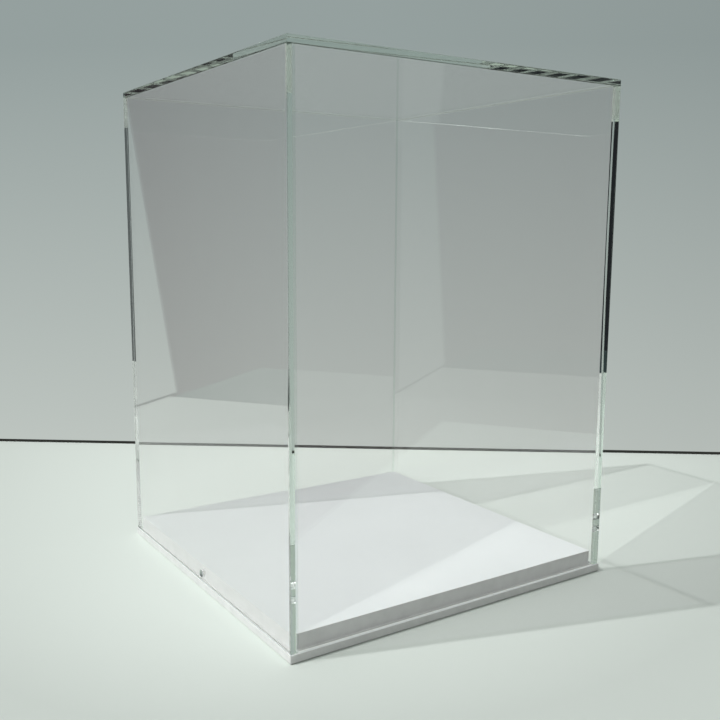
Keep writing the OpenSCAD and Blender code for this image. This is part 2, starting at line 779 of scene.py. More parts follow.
@dataclass(frozen=True)
class CementFilm(Finish):
    """The solvent weld between two sheets, which light crosses as if it were not there.

    A lamp's light that crosses a weld stays trapped in the sheets, so it is dimmed here.

    Attributes:
        clear: what the film lets through.
        trapped: what it lets through of a lamp's light.
    """

    clear: Colour = (1.0, 1.0, 1.0)
    trapped: Colour = (0.80, 0.81, 0.80)

    def surface(self, graph: Graph) -> bpy.types.NodeSocket:
        """A film that lets all light through unbent, apart from a lamp's.

        Args:
            graph: the material's nodes.

        Returns:
            The shader to show.
        """
        shadow = graph.add("LightPath").outputs["Is Shadow Ray"]
        colour = graph.blend(shadow, rgba(self.clear), rgba(self.trapped))
        return graph.add("BsdfTransparent", {"Color": colour}).outputs[0]


@dataclass(frozen=True)
class CloudyCement(CementFilm):
    """The weld on a wall's scraped upper edge.

    It looks dark where it is met through the nearest face alone, and it glows with the light
    that it spreads where it is met from inside the sheets or through the whole case. Where the
    inside of a wall mirrors it, the spread light's colour is raised far above white: a painted
    glint of the key lamp, most in the back wall's weld.

    Attributes:
        cloud: share of the light that it spreads.
        milk: colour of the light that it spreads.
        near_painted_glint: painted glint, the spread light's colour raised above white where its own wall
            mirrors it.
        far_painted_glint: painted glint, the same raised far above white where another wall mirrors it.
        back_from: place along Y where the back wall's weld starts.
        side_painted_glint_share: share of the painted far glint that the other welds show.
        through: a ray has been let through more often than this where it looks milky, where
            the painted near glint shows and where the painted far glint shows.
    """

    clear: Colour = (0.40, 0.43, 0.41)
    cloud: float = 0.75
    milk: Colour = (0.46, 0.495, 0.46)
    # Painted glints: colours above white that stand in for the key lamp's glint in the welds.
    near_painted_glint: Colour = (1.15, 1.23, 1.18)
    far_painted_glint: Colour = (9.5, 10.1, 9.7)
    back_from: float = 95.6 * MM
    side_painted_glint_share: float = 0.3
    through: tuple[float, float, float] = (1.5, 2.5, 4.5)

    def surface(self, graph: Graph) -> bpy.types.NodeSocket:
        """The film, with a share of what meets it spread beyond it.

        Args:
            graph: the material's nodes.

        Returns:
            The shader to show.
        """
        film = super().surface(graph)
        milky, *painted_glinting = (graph.past(Depth.LET_THROUGH, least) for least in self.through)
        spread = graph.add("BsdfTranslucent", {"Color": self.milk_and_painted_glints(graph, *painted_glinting)}).outputs[0]
        inside = graph.maths("MULTIPLY", milky, graph.seen())
        deep = graph.maths("MAXIMUM", inside, graph.mirrored())
        return graph.join(graph.maths("MULTIPLY", deep, self.cloud), film, spread)

    def milk_and_painted_glints(self, graph: Graph, near: object, far: object) -> bpy.types.NodeSocket:
        """The colour of the spread light.

        Args:
            graph: the material's nodes.
            near: 1 where the painted near glint may show, else 0.
            far: 1 where the painted far glint may show, else 0.

        Returns:
            The colour: milky, with the painted glints, colours above white, on rays that have been mirrored
                just once.
        """
        once = graph.maths("COMPARE", graph.add("LightPath").outputs[Depth.MIRRORED.value], 1.0, 0.5)
        back = graph.maths("GREATER_THAN", graph.split(graph.object_place())["Y"], self.back_from)
        far_painted_glint_share = graph.maths("MULTIPLY", far, graph.ramp(back, (0.0, self.side_painted_glint_share), (1.0, 1.0)))
        # Painted glints: the milk is raised above white on rays mirrored once, most in the back wall's weld.
        milk = graph.blend(graph.maths("MULTIPLY", once, near), rgba(self.milk), rgba(self.near_painted_glint))
        return graph.blend(graph.maths("MULTIPLY", once, far_painted_glint_share), milk, rgba(self.far_painted_glint))


@dataclass(frozen=True)
class SprayedBoard(Finish):
    """Fibreboard sprayed matt white: a fine orange peel, a slow mottle and a few nibs of dust.

    Attributes:
        base: colour of the paint.
        dull: the same where the mottle is full.
        mottle_edge: the values of the mottle's noise where it begins and where it is full.
        mottle_scale: how many patches of the mottle there are to a metre.
        rough_range: least and greatest roughness.
        peel_scale: how many dimples of the peel there are to a metre.
        peel_depth: depth of the peel.
        nib_scale: how many places for a nib there are to a metre.
        nib_size: size of a nib, as a share of its place.
        nib_colour: colour of a nib.
        nib_groups: how many groups of nibs there are to a metre.
        nib_least: value of the groups' noise past which nibs show.
    """

    base: Colour = (0.775, 0.822, 0.815)
    dull: Colour = (0.75, 0.797, 0.79)
    mottle_edge: tuple[float, float] = (0.35, 0.7)
    mottle_scale: float = 14.0
    rough_range: tuple[float, float] = (0.52, 0.64)
    peel_scale: float = 420.0
    peel_depth: float = 9e-6
    nib_scale: float = 75.0
    nib_size: float = 0.035
    nib_colour: Colour = (0.42, 0.42, 0.40)
    nib_groups: float = 31.0
    nib_least: float = 0.72

    def colour(self, graph: Graph, place: object) -> bpy.types.NodeSocket:
        """Mottled white, with a dark nib where a cell's middle is met.

        Args:
            graph: the material's nodes.
            place: the point on the piece.

        Returns:
            The colour.
        """
        first, full = self.mottle_edge
        mottle = graph.noise(place, self.mottle_scale, detail=3.0)
        share = graph.ramp(mottle, (first, 0.0), (full, 1.0))
        paint = graph.blend(share, rgba(self.base), rgba(self.dull))
        cells = graph.add("TexVoronoi", {"Vector": place, "Scale": self.nib_scale}).outputs["Distance"]
        groups = graph.noise(place, self.nib_groups, detail=0.0)
        sparse = graph.maths("GREATER_THAN", groups, self.nib_least)
        nib = graph.maths("MULTIPLY", graph.maths("LESS_THAN", cells, self.nib_size), sparse)
        return graph.blend(nib, paint, rgba(self.nib_colour))

    def height(self, graph: Graph, place: object) -> bpy.types.NodeSocket:
        """The height of the sprayed skin."""
        return graph.noise(place, self.peel_scale, detail=2.0)

    def surface(self, graph: Graph) -> bpy.types.NodeSocket:
        """Matt paint over the peel.

        Args:
            graph: the material's nodes.

        Returns:
            The shader to show.
        """
        place = graph.object_place()
        coarse = graph.noise(place, self.peel_scale / 4, detail=2.0)
        inputs = {
            "Base Color": self.colour(graph, place),
            "Roughness": graph.ramp(coarse, *zip(MIDDLE_NOISE, self.rough_range)),
            "Normal": graph.bump(self.height(graph, place), self.peel_depth),
        }
        return graph.add("BsdfPrincipled", inputs).outputs[0]


@dataclass(frozen=True)
class MachinedEdge(SprayedBoard):
    """The cut sides of the board, where the paint sinks into the fibres and stays rougher.

    Attributes:
        fibre_scale: how many fibres there are to a metre.
        fibre_stretch: how much longer than thick a fibre is.
    """

    # Partly painted shade: darker than the deck's paint, partly for the bare fibres and partly to darken the
    # board's sides as shade would.
    base: Colour = (0.76, 0.77, 0.76)
    dull: Colour = (0.70, 0.71, 0.70)
    rough_range: tuple[float, float] = (0.62, 0.8)
    mottle_scale: float = 160.0
    fibre_scale: float = 700.0
    fibre_stretch: float = 3.0
    peel_depth: float = 22e-6

    def height(self, graph: Graph, place: object) -> bpy.types.NodeSocket:
        """Fibres that lie in the plane of the board, so the noise is drawn out level."""
        flat = graph.scaled(place, (1.0, 1.0, self.fibre_stretch))
        return graph.noise(flat, self.fibre_scale, detail=4.0, rough=0.6)


@dataclass(frozen=True)
class DrilledBoard(Finish):
    """Bare fibreboard inside a drilled hole.

    Attributes:
        fibre: colour of the fibres.
        dark: colour between the fibres.
        fibre_scale: how many fibres there are to a metre.
        fibre_depth: depth of the fibres.
        rough_range: least and greatest roughness.
    """

    fibre: Colour = (0.36, 0.26, 0.17)
    dark: Colour = (0.22, 0.15, 0.09)
    fibre_scale: float = 2400.0
    fibre_depth: float = 40e-6
    rough_range: tuple[float, float] = (0.8, 0.95)

    def surface(self, graph: Graph) -> bpy.types.NodeSocket:
        """Rough brown fibres.

        Args:
            graph: the material's nodes.

        Returns:
            The shader to show.
        """
        grain = graph.noise(graph.object_place(), self.fibre_scale, detail=3.0)
        inputs = {
            "Base Color": graph.blend(grain, rgba(self.dark), rgba(self.fibre)),
            "Roughness": graph.ramp(grain, *zip(MIDDLE_NOISE, self.rough_range)),
            "Normal": graph.bump(grain, self.fibre_depth),
        }
        return graph.add("BsdfPrincipled", inputs).outputs[0]


# ---------------------------------------------------------------- the cover


class SheetSlot(IntEnum):
    """Material slots of a sheet of the cover."""

    FACE = 0
    EDGE = 1
    CEMENT = 2
    BORE = 3
    SAWN = 4
    CLOUDY = 5


@dataclass(frozen=True)
class AcrylicFinishes:
    """The finishes of a sheet, in the order of its slots."""

    face: ClearAcrylic = ClearAcrylic("clear_acrylic_face")
    edge: PolishedEdge = PolishedEdge("polished_acrylic_edge")
    cement: CementFilm = CementFilm("cement_film")
    bore: DrilledAcrylic = DrilledAcrylic("drilled_acrylic")
    sawn: SawnAcrylic = SawnAcrylic("sawn_acrylic_edge")
    cloudy: CloudyCement = CloudyCement("cloudy_cement_film")

    def make(self) -> list[bpy.types.Material]:
        """Makes the materials, in the order of SheetSlot."""
        parts = (self.face, self.edge, self.cement, self.bore, self.sawn, self.cloudy)
        return [part.make() for part in parts]


@dataclass(frozen=True)
class JointSizes:
    """Small sizes that all the sheets share.

    Attributes:
        arris: radius of the polished outside edges round the top.
        foot: radius of the outside edges at the walls' feet.
        corner: radius of the upright outside edges.
        seam: radius of the edges that meet in a cemented joint.
        film: gap that the cement film takes up.
        wall_under: how far the walls' cast sheet runs under its nominal thickness.
        top_under: the same for the top's sheet, which comes from another casting.
        foot_gap: hairline between a wall's sawn foot and the lip that it stands on.
        hole_radius: radius of the screw's clearance hole.
        hole_cell: half the side of the square that the hole is set in.
        hole_break: how far the sharp rim of the hole is broken.
    """

    arris: float = 0.6 * MM
    foot: float = 0.3 * MM
    corner: float = 0.2 * MM
    seam: float = 0.05 * MM
    film: float = 0.01 * MM
    wall_under: float = 0.23 * MM
    top_under: float = 0.7 * MM
    foot_gap: float = 0.05 * MM
    hole_radius: float = 2.0 * MM
    hole_cell: float = 2.6 * MM
    hole_break: float = 0.12 * MM


@dataclass
class Sheet:
    """One sheet of the cover, which stands for the CAD node of its name.

    Attributes:
        node: name of the node.
        low: its lowest corner.
        high: its highest corner.
        sizes: the sizes that sheets share.
    """

    node: str
    low: np.ndarray
    high: np.ndarray
    sizes: JointSizes = field(default_factory=JointSizes)

    @classmethod
    def measured(cls, node: str, low_more: Point, high_more: Point, **more: object) -> "Sheet":
        """Makes the sheet from the box of its node.

        Args:
            node: name of the node.
            low_more: how far the lowest corner moves, as cast sheet runs under its nominal size.
            high_more: the same for the highest corner.
            **more: the sheet's other fields.

        Returns:
            The sheet.
        """
        low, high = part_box(node)
        return cls(node, np.array(low) + low_more, np.array(high) + high_more, **more)

    @property
    def centre(self) -> tuple[float, float]:
        """The middle of the sheet in plan."""
        middle = (self.low + self.high) / 2
        return float(middle[0]), float(middle[1])

    @property
    def half(self) -> tuple[float, float]:
        """Half the sheet's width and depth."""
        size = (self.high - self.low) / 2
        return float(size[0]), float(size[1])

    def level(self, height: float, inset: tuple[float, float], radii: Sequence[float]) -> Level:
        """Makes a ring of the sheet.

        Args:
            height: height of the ring.
            inset: how far its sides are moved in along X and along Y.
            radii: radii of the sheet's upright corners, of which the ring's are less by the inset.

        Returns:
            The ring.
        """
        least = 0.2 * self.sizes.seam
        shrunk = tuple(max(radius - max(inset), least) for radius in radii)
        return Level(height, self.half[0] - inset[0], self.half[1] - inset[1], shrunk)

    def eased_levels(
        self,
        radii: Sequence[float],
        bottom: tuple[float, float],
        top: tuple[float, float],
        middle: Sequence[float],
    ) -> list[Level]:
        """Rings from the bottom's quarter round over the walls to the top's quarter round.

        Args:
            radii: radii of the upright corners.
            bottom: how far the bottom is eased along X and along Y.
            top: the same at the top.
            middle: heights of further rings up the walls.

        Returns:
            The rings, from the lowest to the highest.
        """
        low, high = float(self.low[2]), float(self.high[2])
        below = quarter_round((1.0, 0.0), (0.0, 1.0), Leaves.LEVEL)
        above = quarter_round((0.0, 0.0), (1.0, 1.0), Leaves.UPRIGHT)
        rise, fall = max(bottom), max(top)
        levels = [self.level(low + rise * h, (bottom[0] * i, bottom[1] * i), radii) for i, h in below]
        levels += [self.level(height, (0.0, 0.0), radii) for height in middle]
        levels += [self.level(high - fall + fall * h, (top[0] * i, top[1] * i), radii) for i, h in above]
        return levels

    def body(
        self,
        levels: list[Level],
        side_slots: tuple[int, int, int, int],
        cap_slots: tuple[int, int],
        stations: tuple[tuple[float, ...], ...] = ((), (), (), ()),
        welded: int = 0,
    ) -> LevelledShell:
        """Lays out the sheet's shell, whose rounds and corners are polished.

        Args:
            levels: its rings, from the lowest to the highest.
            side_slots: material slot of the wall on each Side.
            cap_slots: material slots of the bottom and of the top.
            stations: extra points along each Side.
            welded: how many bands lie in the weld on the underside, before the bottom's round.

        Returns:
            The shell, which isn't lofted yet.
        """
        bands = len(levels) - 1
        walls = range(welded + ARC_STEPS, bands - ARC_STEPS)
        return LevelledShell(
            centre=self.centre,
            levels=levels,
            stations=stations,
            band_slots=[SheetSlot.CEMENT] * welded + [SheetSlot.EDGE] * (bands - welded),
            side_slots=side_slots,
            wall_bands=walls,
            cap_slots=cap_slots,
            round_bands=frozenset(range(welded, bands)) - frozenset(walls),
            round_slot=SheetSlot.EDGE,
        )

    def dress(self, shell: Shell, materials: Sequence[bpy.types.Material]) -> bpy.types.Object:
        """Makes the shell an object that stands for the node and rides on the cover.

        Args:
            shell: the sheet's mesh.
            materials: the materials of its slots.

        Returns:
            The object.
        """
        piece = shell.make_object(self.node + "_sheet", materials)
        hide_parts(self.node)
        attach(piece, "cover")
        return piece


@dataclass
class SideSheet(Sheet):
    """A side wall: full depth, cemented to the front and back walls, with a screw hole.

    Attributes:
        outward: the side that faces out of the case.
        wall: thickness of the front and back walls.
        hole_height: height of the hole's middle.
    """

    outward: Side = Side.LEFT
    wall: float = 4 * MM
    hole_height: float = 8 * MM

    def stations(self) -> tuple[tuple[float, ...], ...]:
        """Points beside the hole on both faces, and where the weld strips end on the inner one.

        Returns:
            For each Side, the places of its points, in the ring's own direction.
        """
        cell = self.sizes.hole_cell
        strip = self.half[1] - self.wall
        outer = (-cell, cell)
        inner = (-strip, -cell, cell, strip)
        left, right = (outer, inner) if self.outward is Side.LEFT else (inner, outer)
        return (), tuple(reversed(left)), (), right

    def build(self, materials: Sequence[bpy.types.Material]) -> bpy.types.Object:
        """Builds the sheet with its weld strips and its hole.

        Args:
            materials: the materials of its slots.

        Returns:
            The object.
        """
        sizes = self.sizes
        outer_corners = {Side.LEFT: (1, 2), Side.RIGHT: (0, 3)}[self.outward]
        radii = [sizes.corner if corner in outer_corners else sizes.seam for corner in range(4)]
        middle = (self.hole_height - sizes.hole_cell, self.hole_height + sizes.hole_cell)
        eased, seam = (sizes.foot, sizes.foot), (sizes.seam, sizes.seam)
        body = self.body(
            levels=self.eased_levels(radii, eased, seam, middle),
            side_slots=(SheetSlot.EDGE, SheetSlot.FACE, SheetSlot.EDGE, SheetSlot.FACE),
            cap_slots=(SheetSlot.EDGE, SheetSlot.CLOUDY),
            stations=self.stations(),
        )
        hole_band = ARC_STEPS + 1
        inner = Side.RIGHT if self.outward is Side.LEFT else Side.LEFT
        welds = {(inner, span): SheetSlot.CEMENT for span in (0, 4)}
        cells = {self.outward: 1, inner: 2}
        rings = body.loft(welds, {(hole_band, side, span) for side, span in cells.items()})
        self.drill(body, rings, hole_band, cells)
        return self.dress(body.shell, materials)

    def drill(self, body: LevelledShell, rings: np.ndarray, band: int, cells: dict[Side, int]) -> None:
        """Joins the two open cells with the wall of the hole.

        Args:
            body: the sheet's shell.
            rings: its rings' point numbers.
            band: the band that holds the cells.
            cells: the stretch of each side that is open.
        """
        sizes = self.sizes
        x_left, x_right = float(self.low[0]), float(self.high[0])
        mouth = sizes.hole_radius + sizes.hole_break
        hole = Drilling(
            middle=(0.0, self.hole_height),
            rings=(
                (x_left, mouth),
                (x_left + sizes.hole_break, sizes.hole_radius),
                (x_right - sizes.hole_break, sizes.hole_radius),
                (x_right, mouth),
            ),
        )
        circles = body.shell.add_points(hole.points())
        for side, rim in ((Side.LEFT, circles[0, ::-1]), (Side.RIGHT, circles[-1])):
            body.shell.add_collar(body.cell(rings, band, side, cells[side]), rim, SheetSlot.FACE)
        body.shell.add_bore(circles[:, ::-1], SheetSlot.BORE)


@dataclass
class CrossSheet(Sheet):
    """The front or the back wall, cemented between the side walls."""

    def build(self, materials: Sequence[bpy.types.Material]) -> bpy.types.Object:
        """Builds the sheet, shorter than its node by the cement's film at each joint.

        Args:
            materials: the materials of its slots.

        Returns:
            The object.
        """
        sizes = self.sizes
        self.low[0] += sizes.film
        self.high[0] -= sizes.film
        eased, seam = (sizes.seam, sizes.foot), (sizes.seam, sizes.seam)
        body = self.body(
            levels=self.eased_levels([sizes.seam] * 4, eased, seam, ()),
            side_slots=(SheetSlot.FACE, SheetSlot.CEMENT, SheetSlot.FACE, SheetSlot.CEMENT),
            cap_slots=(SheetSlot.SAWN, SheetSlot.CLOUDY),
        )
        body.loft({}, set())
        return self.dress(body.shell, materials)


@dataclass
class TopSheet(Sheet):
    """The top, which lies over the upper edges of all four walls.

    Attributes:
        wall: thickness of the walls, which is the width of the weld round its underside.
    """

    wall: float = 4 * MM

    def build(self, materials: Sequence[bpy.types.Material]) -> bpy.types.Object:
        """Builds the sheet, with the weld as a frame round its underside.

        Args:
            materials: the materials of its slots.

        Returns:
            The object.
        """
        sizes = self.sizes
        self.low[2] += sizes.film
        radii = [sizes.corner] * 4
        seam, eased = (sizes.seam, sizes.seam), (sizes.arris, sizes.arris)
        underside = self.level(float(self.low[2]), (self.wall, self.wall), radii)
        body = self.body(
            levels=[underside, *self.eased_levels(radii, seam, eased, ())],
            side_slots=(SheetSlot.EDGE,) * 4,
            cap_slots=(SheetSlot.FACE, SheetSlot.FACE),
            welded=1,
        )
        body.loft({}, set())
        return self.dress(body.shell, materials)


@dataclass
class Cover:
    """The clear cover: four walls and a top of cemented sheet.

    Attributes:
        finishes: what its sheets are made of.
        sizes: the sizes that its sheets share.
    """

    finishes: AcrylicFinishes = field(default_factory=AcrylicFinishes)
    sizes: JointSizes = field(default_factory=JointSizes)

    def build(self, hole_height: float) -> list[bpy.types.Object]:
        """Builds the five sheets.

        Args:
            hole_height: height of the screw holes' middle.

        Returns:
            The sheets' objects.
        """
        materials = self.finishes.make()
        low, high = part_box("left_panel")
        thin, rise, gap = self.sizes.wall_under, self.sizes.top_under, self.sizes.foot_gap
        wall = high.x - low.x - thin
        side = {"sizes": self.sizes, "wall": wall, "hole_height": hole_height}
        sheets = [
            SideSheet.measured("left_panel", (0, 0, gap), (-thin, 0, rise), outward=Side.LEFT, **side),
            SideSheet.measured("right_panel", (thin, 0, gap), (0, 0, rise), outward=Side.RIGHT, **side),
            CrossSheet.measured("front_panel", (-thin, 0, gap), (thin, -thin, rise), sizes=self.sizes),
            CrossSheet.measured("back_panel", (-thin, thin, gap), (thin, 0, rise), sizes=self.sizes),
            TopSheet.measured("top_panel", (0, 0, rise), (0, 0, 0), sizes=self.sizes, wall=wall),
        ]
        return [sheet.build(materials) for sheet in sheets]


# ---------------------------------------------------------------- the base


class BoardSlot(IntEnum):
    """Material slots of the base board."""

    DECK = 0
    CUT = 1
    BORE = 2


@dataclass
class BaseBoard:
    """The white board, rebated all round so that a thin lip carries the cover.

    Attributes:
        low: lowest corner of its node.
        high: highest corner of its node.
        lip: thickness of the lip.
        rebate: width of the rebate.
        arris: radius of the sanded edges.
        foot: radius of the edges that the board stands on.
        corner: radius of the upright corners.
        fillet: radius of the paint in the foot of the rebate.
        pilot_radius: radius of the pilot holes.
        pilot_depth: depth of their straight part.
        pilot_cell: half the side of the square that a hole is set in.
        point_angle: included angle of the drill's point, in degrees.
        deck: finish of the raised block's top and of the lip.
        cut: finish of the sides and the underside.
        bore: finish inside the pilot holes.
    """

    low: np.ndarray
    high: np.ndarray
    lip: float
    rebate: float
    arris: float = 0.12 * MM
    foot: float = 0.5 * MM
    corner: float = 0.4 * MM
    fillet: float = 0.6 * MM
    pilot_radius: float = 1.0 * MM
    pilot_depth: float = 10.0 * MM
    pilot_cell: float = 1.6 * MM
    point_angle: float = 118.0
    deck: SprayedBoard = SprayedBoard("sprayed_white_board")
    cut: MachinedEdge = MachinedEdge("machined_white_edge")
    bore: DrilledBoard = DrilledBoard("drilled_board")

    @property
    def hole_height(self) -> float:
        """Height of the holes' middle, half way up the side of the raised block."""
        return (self.lip + float(self.high[2])) / 2

    def profile(self) -> tuple[list[tuple[float, float]], set[int], int]:
        """The board's section from the underside's edge to the deck's edge.

        Returns:
            Points as inset and height, the bands that are rounds, and the band that holds
            the pilot holes.
        """
        top = float(self.high[2])
        foot = self.rebate - self.fillet
        hole = self.hole_height
        parts = (
            quarter_round((self.foot, 0.0), (0.0, self.foot), Leaves.LEVEL),
            quarter_round((0.0, self.lip - self.arris), (self.arris, self.lip), Leaves.UPRIGHT),
            quarter_round((foot, self.lip), (self.rebate, self.lip + self.fillet), Leaves.LEVEL),
            np.array([(self.rebate, hole - self.pilot_cell), (self.rebate, hole + self.pilot_cell)]),
            quarter_round((self.rebate, top - self.arris), (self.rebate + self.arris, top), Leaves.UPRIGHT),
        )
        starts = [sum(len(part) for part in parts[:number]) for number in range(len(parts))]
        hole_band = starts.pop(3)  # the only part that is straight
        rounds = {start + step for start in starts for step in range(ARC_STEPS)}
        return [tuple(row) for part in parts for row in part.tolist()], rounds, hole_band

    def levels(self, profile: list[tuple[float, float]]) -> list[Level]:
        """Rings of the board: its plan moved in by each inset, with the corners' radius kept.

        Args:
            profile: points as inset and height.

        Returns:
            The rings, from the lowest to the highest.
        """
        half_width, half_depth = (float(size) for size in (self.high - self.low)[:2] / 2)
        least = 0.1 * self.corner
        rings = []
        for inset, height in profile:
            eased = inset if inset < self.rebate - self.fillet else inset - self.rebate
            radius = max(self.corner - max(eased, 0.0), least)
            rings.append(Level(height, half_width - inset, half_depth - inset, (radius,) * 4))
        return rings

    def build(self) -> bpy.types.Object:
        """Builds the board with its two pilot holes and dresses it.

        Returns:
            The object.
        """
        profile, rounds, hole_band = self.profile()
        cell = self.pilot_cell
        lip_band = 2 * ARC_STEPS + 1
        slots = [BoardSlot.CUT] * (len(profile) - 1)
        slots[lip_band] = BoardSlot.DECK
        body = LevelledShell(
            centre=(0.0, 0.0),
            levels=self.levels(profile),
            stations=((), (cell, -cell), (), (-cell, cell)),
            band_slots=slots,
            side_slots=(BoardSlot.CUT,) * 4,
            wall_bands=range(0, 0),
            cap_slots=(BoardSlot.CUT, BoardSlot.DECK),
            round_bands=frozenset(rounds),
            round_slot=BoardSlot.CUT,
        )
        rings = body.loft({}, {(hole_band, Side.LEFT, 1), (hole_band, Side.RIGHT, 1)})
        for side, sign in ((Side.LEFT, -1), (Side.RIGHT, 1)):
            self.drill(body, body.cell(rings, hole_band, side, 1), sign)
        materials = [finish.make() for finish in (self.deck, self.cut, self.bore)]
        piece = body.shell.make_object("rebated_board", materials)
        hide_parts("base_board")
        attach(piece, "base")
        return piece

    def drill(self, body: LevelledShell, cell: list[int], sign: int) -> None:
        """Drills one pilot hole with the cone that the drill's point leaves.

        Args:
            body: the board's shell.
            cell: corners of the open cell in its side.
            sign: -1 on the left side and 1 on the right.
        """
        face = float(self.high[0]) - self.rebate
        point = self.pilot_radius / math.tan(math.radians(self.point_angle / 2))
        tip_radius = 0.02 * MM
        depths = (
            (0.0, self.pilot_radius),
            (self.pilot_depth, self.pilot_radius),
            (self.pilot_depth + point, tip_radius),
        )
        rings = tuple((sign * (face - depth), radius) for depth, radius in depths)
        circles = body.shell.add_points(Drilling((0.0, self.hole_height), rings).points())
        outward = circles if sign > 0 else circles[:, ::-1]
        body.shell.add_collar(cell, outward[0], BoardSlot.CUT)
        body.shell.add_bore(outward, BoardSlot.BORE)
        body.shell.add_faces([outward[-1].tolist()], BoardSlot.BORE, False)


# ---------------------------------------------------------------- the studio


@dataclass(frozen=True)
class RoomTones:
    """What the room looks like from the case.

    Attributes:
        pale: the backdrop beyond the floor, as seen directly or through the case.
        ceiling: the lit upper part of the room, as the sheets pipe it.
        horizon: sine of the elevation where the ceiling begins.
        ceiling_top: sine of the elevation where it ends.
        piped_from: how often a ray has been mirrored at least where the ceiling shows.
        screen_way: level direction of a tall dark screen.
        screen_edge: cosine of half the angle that the screen fills.
        screen_horizon: sine of the elevation of the screen's top.
        fill_dark: soft light from the front right.
        fill_light: soft light from the back left and above.
        fill_way: the direction that the fill is brightest in.
        fill_edge: the cosines to that way where the fill is fill_dark and fill_light.
    """

    pale: Colour = (0.60, 0.66, 0.62)
    ceiling: Colour = (0.44, 0.50, 0.44)
    horizon: float = 0.108
    ceiling_top: float = 0.5
    piped_from: float = 3.5
    screen_way: Point = (-0.42, 0.907, 0.0)
    screen_edge: float = 0.98
    screen_horizon: float = 0.3
    fill_dark: float = 0.03
    fill_light: float = 0.80
    fill_way: Point = (-0.45, 0.30, 0.84)
    fill_edge: tuple[float, float] = (-0.1, 0.9)


@dataclass
class Room:
    """The room round the table, as the world's colour.

    Attributes:
        tones: what it looks like.
    """

    tones: RoomTones = field(default_factory=RoomTones)

    def build(self) -> None:
        """Makes the world: a soft fill, the pale backdrop, and the unlit room in mirrored rays."""
        world = bpy.data.worlds.new("room")
        bpy.context.scene.world = world
        graph = Graph(world)
        tones = self.tones
        way = graph.add("TexCoord").outputs["Generated"]
        far, near = tones.fill_edge
        fill = graph.ramp(graph.dot(way, tones.fill_way), (far, tones.fill_dark), (near, tones.fill_light))
        shown = graph.blend(graph.mirrored(), rgba(tones.pale), self.mirrored(graph, way))
        colour = graph.blend(graph.seen(), graph.grey(fill), shown)
        graph.finish(graph.add("Background", {"Color": colour, "Strength": 1.0}).outputs[0])

    def mirrored(self, graph: Graph, way: object) -> bpy.types.NodeSocket:
        """The room in mirrored rays: dark up to a horizon, which a tall screen hides in part.

        Args:
            graph: the world's nodes.
            way: the direction that is looked in.

        Returns:
            The colour.
        """
        tones = self.tones
        screen = graph.maths("GREATER_THAN", graph.dot(way, tones.screen_way), tones.screen_edge)
        edge = graph.ramp(screen, (0.0, tones.horizon), (1.0, tones.screen_horizon))
        rise = graph.split(way)["Z"]
        above = graph.maths("GREATER_THAN", rise, edge)
        below = graph.maths("LESS_THAN", rise, tones.ceiling_top)
        piped = graph.past(Depth.MIRRORED, tones.piped_from)
        lit = graph.maths("MULTIPLY", graph.maths("MULTIPLY", above, below), piped)
        return graph.blend(lit, graph.dark_room(), rgba(tones.ceiling))


@dataclass(frozen=True)
class TableSpan:
    """A stretch of the table.

    Attributes:
        along: its ends along the backdrop.
        toward: its ends towards the backdrop.
    """

    along: tuple[float, float]
    toward: tuple[float, float]

    def holds(self, graph: Graph, along: object, toward: object) -> bpy.types.NodeSocket:
        """Tells where the stretch lies.

        Args:
            graph: the material's nodes.
            along: the place's coordinate along the backdrop.
            toward: its coordinate towards the backdrop.

        Returns:
            1 where both coordinates lie within the stretch, else 0.
        """
        shares = []
        for place, (low, high) in ((along, self.along), (toward, self.toward)):
            middle, half = (low + high) / 2, (high - low) / 2
            shares.append(graph.maths("COMPARE", place, middle, half))
        return graph.maths("MULTIPLY", *shares)


